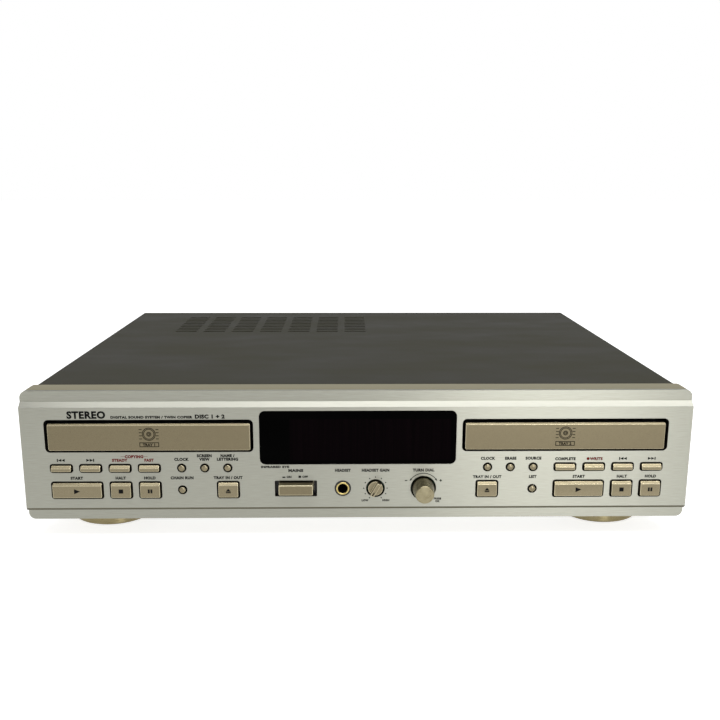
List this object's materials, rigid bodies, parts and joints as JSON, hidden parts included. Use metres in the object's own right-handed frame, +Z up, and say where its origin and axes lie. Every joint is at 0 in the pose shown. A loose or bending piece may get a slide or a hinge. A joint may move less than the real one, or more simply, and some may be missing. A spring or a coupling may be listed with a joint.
{
  "type": "cd recorder",
  "caption": "Low wide hi-fi disc recorder with twin front trays, a brushed front panel of buttons and knobs, a dark steel cover and round feet.",
  "frame": {"origin": "on the floor plane under the middle of the object's box", "axes": "+Z up, the front faces -Y, +X to the right seen from the front"},
  "size_m": [0.4356, 0.344, 0.1005],
  "materials": {
    "brushed_aluminium": "brushed along the width, clear anodised",
    "champagne_paint": "moulded, champagne metallic paint",
    "frame_paint": "moulded, champagne metallic paint",
    "turned_aluminium": "turned, champagne anodised",
    "cover_paint": "dark fine-texture paint on sheet steel",
    "rear_paint": "black paint on sheet steel",
    "zinc_steel": "zinc-plated sheet",
    "smoked_acrylic": "polished smoked acrylic",
    "tube_glass": "glass display tube",
    "circuit_board": "populated circuit board",
    "black_plastic": "moulded",
    "tray_plastic": "moulded, fine grain",
    "gear_plastic": "moulded acetal",
    "motor_steel": "plated",
    "transformer_steel": "varnished laminations",
    "mechanism_metal": "die-cast",
    "bridge_steel": "plated sheet",
    "gold_plating": "gold-plated moulding",
    "pad_rubber": "soft",
    "screw_steel": "blackened"
  },
  "bodies": {
    "chassis": {"chassis_base": "zinc_steel", "rear_panel": "rear_paint", "top_cover": "cover_paint", "front_frame": "frame_paint", "front_panel": "brushed_aluminium", "display_window": "smoked_acrylic", "display_tube": "tube_glass", "front_board": "circuit_board", "headphone_jack": "black_plastic", "loader_frames": "black_plastic", "clamp_bridges": "bridge_steel", "loading_motors": "motor_steel", "main_board": "circuit_board", "power_transformer": "transformer_steel", "feet": "gold_plating", "foot_pads": "pad_rubber", "rear_sockets": "black_plastic", "screws": "screw_steel"},
    "left_skip_back_button": {"left_skip_back_button": "champagne_paint"},
    "left_skip_forward_button": {"left_skip_forward_button": "champagne_paint"},
    "left_copy_normal_button": {"left_copy_normal_button": "champagne_paint"},
    "left_copy_fast_button": {"left_copy_fast_button": "champagne_paint"},
    "left_play_button": {"left_play_button": "champagne_paint"},
    "left_stop_button": {"left_stop_button": "champagne_paint"},
    "left_pause_button": {"left_pause_button": "champagne_paint"},
    "left_time_button": {"left_time_button": "champagne_paint"},
    "left_display_button": {"left_display_button": "champagne_paint"},
    "left_title_button": {"left_title_button": "champagne_paint"},
    "left_mode_button": {"left_mode_button": "champagne_paint"},
    "left_eject_button": {"left_eject_button": "champagne_paint"},
    "right_time_button": {"right_time_button": "champagne_paint"},
    "right_clear_button": {"right_clear_button": "champagne_paint"},
    "right_input_button": {"right_input_button": "champagne_paint"},
    "right_menu_button": {"right_menu_button": "champagne_paint"},
    "right_eject_button": {"right_eject_button": "champagne_paint"},
    "right_finalize_button": {"right_finalize_button": "champagne_paint"},
    "right_record_button": {"right_record_button": "champagne_paint"},
    "right_skip_back_button": {"right_skip_back_button": "champagne_paint"},
    "right_skip_forward_button": {"right_skip_forward_button": "champagne_paint"},
    "right_play_button": {"right_play_button": "champagne_paint"},
    "right_stop_button": {"right_stop_button": "champagne_paint"},
    "right_pause_button": {"right_pause_button": "champagne_paint"},
    "power_button": {"power_button": "champagne_paint"},
    "left_tray": {"left_tray": "tray_plastic", "left_tray_door": "champagne_paint"},
    "left_drive_gear": {"left_drive_gear": "gear_plastic"},
    "left_traverse": {"left_traverse": "mechanism_metal"},
    "left_turntable": {"left_turntable": "tray_plastic"},
    "left_pickup_sled": {"left_pickup_sled": "black_plastic"},
    "left_clamper": {"left_clamper": "gear_plastic"},
    "right_tray": {"right_tray": "tray_plastic", "right_tray_door": "champagne_paint"},
    "right_drive_gear": {"right_drive_gear": "gear_plastic"},
    "right_traverse": {"right_traverse": "mechanism_metal"},
    "right_turntable": {"right_turntable": "tray_plastic"},
    "right_pickup_sled": {"right_pickup_sled": "black_plastic"},
    "right_clamper": {"right_clamper": "gear_plastic"},
    "level_knob": {"level_knob": "champagne_paint"},
    "jog_sleeve": {"jog_sleeve": "black_plastic"},
    "jog_knob": {"jog_knob": "turned_aluminium"}
  },
  "joints": [
    {"name": "left_skip_back_push", "type": "slide", "parent": "chassis", "child": "left_skip_back_button", "axis": [0, 1, 0], "range_m": [0, 0.0008], "stiffness_N_per_m": 400, "springref_m": -0.003},
    {"name": "left_skip_forward_push", "type": "slide", "parent": "chassis", "child": "left_skip_forward_button", "axis": [0, 1, 0], "range_m": [0, 0.0008], "stiffness_N_per_m": 400, "springref_m": -0.003},
    {"name": "left_copy_normal_push", "type": "slide", "parent": "chassis", "child": "left_copy_normal_button", "axis": [0, 1, 0], "range_m": [0, 0.0008], "stiffness_N_per_m": 400, "springref_m": -0.003},
    {"name": "left_copy_fast_push", "type": "slide", "parent": "chassis", "child": "left_copy_fast_button", "axis": [0, 1, 0], "range_m": [0, 0.0008], "stiffness_N_per_m": 400, "springref_m": -0.003},
    {"name": "left_play_push", "type": "slide", "parent": "chassis", "child": "left_play_button", "axis": [0, 1, 0], "range_m": [0, 0.0008], "stiffness_N_per_m": 400, "springref_m": -0.003},
    {"name": "left_stop_push", "type": "slide", "parent": "chassis", "child": "left_stop_button", "axis": [0, 1, 0], "range_m": [0, 0.0008], "stiffness_N_per_m": 400, "springref_m": -0.003},
    {"name": "left_pause_push", "type": "slide", "parent": "chassis", "child": "left_pause_button", "axis": [0, 1, 0], "range_m": [0, 0.0008], "stiffness_N_per_m": 400, "springref_m": -0.003},
    {"name": "left_time_push", "type": "slide", "parent": "chassis", "child": "left_time_button", "axis": [0, 1, 0], "range_m": [0, 0.0008], "stiffness_N_per_m": 400, "springref_m": -0.003},
    {"name": "left_display_push", "type": "slide", "parent": "chassis", "child": "left_display_button", "axis": [0, 1, 0], "range_m": [0, 0.0008], "stiffness_N_per_m": 400, "springref_m": -0.003},
    {"name": "left_title_push", "type": "slide", "parent": "chassis", "child": "left_title_button", "axis": [0, 1, 0], "range_m": [0, 0.0008], "stiffness_N_per_m": 400, "springref_m": -0.003},
    {"name": "left_mode_push", "type": "slide", "parent": "chassis", "child": "left_mode_button", "axis": [0, 1, 0], "range_m": [0, 0.0008], "stiffness_N_per_m": 400, "springref_m": -0.003},
    {"name": "left_eject_push", "type": "slide", "parent": "chassis", "child": "left_eject_button", "axis": [0, 1, 0], "range_m": [0, 0.0008], "stiffness_N_per_m": 400, "springref_m": -0.003},
    {"name": "right_time_push", "type": "slide", "parent": "chassis", "child": "right_time_button", "axis": [0, 1, 0], "range_m": [0, 0.0008], "stiffness_N_per_m": 400, "springref_m": -0.003},
    {"name": "right_clear_push", "type": "slide", "parent": "chassis", "child": "right_clear_button", "axis": [0, 1, 0], "range_m": [0, 0.0008], "stiffness_N_per_m": 400, "springref_m": -0.003},
    {"name": "right_input_push", "type": "slide", "parent": "chassis", "child": "right_input_button", "axis": [0, 1, 0], "range_m": [0, 0.0008], "stiffness_N_per_m": 400, "springref_m": -0.003},
    {"name": "right_menu_push", "type": "slide", "parent": "chassis", "child": "right_menu_button", "axis": [0, 1, 0], "range_m": [0, 0.0008], "stiffness_N_per_m": 400, "springref_m": -0.003},
    {"name": "right_eject_push", "type": "slide", "parent": "chassis", "child": "right_eject_button", "axis": [0, 1, 0], "range_m": [0, 0.0008], "stiffness_N_per_m": 400, "springref_m": -0.003},
    {"name": "right_finalize_push", "type": "slide", "parent": "chassis", "child": "right_finalize_button", "axis": [0, 1, 0], "range_m": [0, 0.0008], "stiffness_N_per_m": 400, "springref_m": -0.003},
    {"name": "right_record_push", "type": "slide", "parent": "chassis", "child": "right_record_button", "axis": [0, 1, 0], "range_m": [0, 0.0008], "stiffness_N_per_m": 400, "springref_m": -0.003},
    {"name": "right_skip_back_push", "type": "slide", "parent": "chassis", "child": "right_skip_back_button", "axis": [0, 1, 0], "range_m": [0, 0.0008], "stiffness_N_per_m": 400, "springref_m": -0.003},
    {"name": "right_skip_forward_push", "type": "slide", "parent": "chassis", "child": "right_skip_forward_button", "axis": [0, 1, 0], "range_m": [0, 0.0008], "stiffness_N_per_m": 400, "springref_m": -0.003},
    {"name": "right_play_push", "type": "slide", "parent": "chassis", "child": "right_play_button", "axis": [0, 1, 0], "range_m": [0, 0.0008], "stiffness_N_per_m": 400, "springref_m": -0.003},
    {"name": "right_stop_push", "type": "slide", "parent": "chassis", "child": "right_stop_button", "axis": [0, 1, 0], "range_m": [0, 0.0008], "stiffness_N_per_m": 400, "springref_m": -0.003},
    {"name": "right_pause_push", "type": "slide", "parent": "chassis", "child": "right_pause_button", "axis": [0, 1, 0], "range_m": [0, 0.0008], "stiffness_N_per_m": 400, "springref_m": -0.003},
    {"name": "power_push", "type": "slide", "parent": "chassis", "child": "power_button", "axis": [0, 1, 0], "range_m": [0, 0.003], "stiffness_N_per_m": 300, "springref_m": -0.004},
    {"name": "left_tray_slide", "type": "slide", "parent": "chassis", "child": "left_tray", "axis": [0, -1, 0], "range_m": [0, 0.136]},
    {"name": "left_drive_turn", "type": "hinge", "parent": "chassis", "child": "left_drive_gear", "pos_m": [-0.1732, -0.121, 0.0632], "axis": [0, 0, 1], "range_deg": [0, 655]},
    {"name": "left_traverse_lift", "type": "hinge", "parent": "chassis", "child": "left_traverse", "pos_m": [-0.1352, 0.0129, 0.06155], "axis": [-1, 0, 0], "range_deg": [0, 5.34]},
    {"name": "left_turntable_spin", "type": "hinge", "parent": "left_traverse", "child": "left_turntable", "pos_m": [-0.1352, -0.08755, 0.06176], "axis": [0, -0.093, 0.9957], "continuous": true},
    {"name": "left_sled_slide", "type": "slide", "parent": "left_traverse", "child": "left_pickup_sled", "axis": [0, 0.9957, 0.093], "range_m": [0, 0.035]},
    {"name": "left_clamper_spin", "type": "hinge", "parent": "chassis", "child": "left_clamper", "pos_m": [-0.1352, -0.0871, 0.075], "axis": [0, 0, 1], "continuous": true},
    {"name": "right_tray_slide", "type": "slide", "parent": "chassis", "child": "right_tray", "axis": [0, -1, 0], "range_m": [0, 0.136]},
    {"name": "right_drive_turn", "type": "hinge", "parent": "chassis", "child": "right_drive_gear", "pos_m": [0.0972, -0.121, 0.0632], "axis": [0, 0, 1], "range_deg": [0, 655]},
    {"name": "right_traverse_lift", "type": "hinge", "parent": "chassis", "child": "right_traverse", "pos_m": [0.1352, 0.0129, 0.06155], "axis": [-1, 0, 0], "range_deg": [0, 5.34]},
    {"name": "right_turntable_spin", "type": "hinge", "parent": "right_traverse", "child": "right_turntable", "pos_m": [0.1352, -0.08755, 0.06176], "axis": [0, -0.093, 0.9957], "continuous": true},
    {"name": "right_sled_slide", "type": "slide", "parent": "right_traverse", "child": "right_pickup_sled", "axis": [0, 0.9957, 0.093], "range_m": [0, 0.035]},
    {"name": "right_clamper_spin", "type": "hinge", "parent": "chassis", "child": "right_clamper", "pos_m": [0.1352, -0.0871, 0.075], "axis": [0, 0, 1], "continuous": true},
    {"name": "level_turn", "type": "hinge", "parent": "chassis", "child": "level_knob", "pos_m": [0.01152, -0.159, 0.035], "axis": [0, 1, 0], "range_deg": [0, 300]},
    {"name": "jog_push", "type": "slide", "parent": "chassis", "child": "jog_sleeve", "axis": [0, 1, 0], "range_m": [0, 0.0006], "stiffness_N_per_m": 400, "springref_m": -0.003},
    {"name": "jog_turn", "type": "hinge", "parent": "jog_sleeve", "child": "jog_knob", "pos_m": [0.04303, -0.159, 0.035], "axis": [0, 1, 0], "continuous": true}
  ],
  "couplings": [
    {"joint": "left_drive_turn", "follows": "left_tray_slide", "rad_per_m": 83.333},
    {"joint": "right_drive_turn", "follows": "right_tray_slide", "rad_per_m": 83.333}
  ]
}
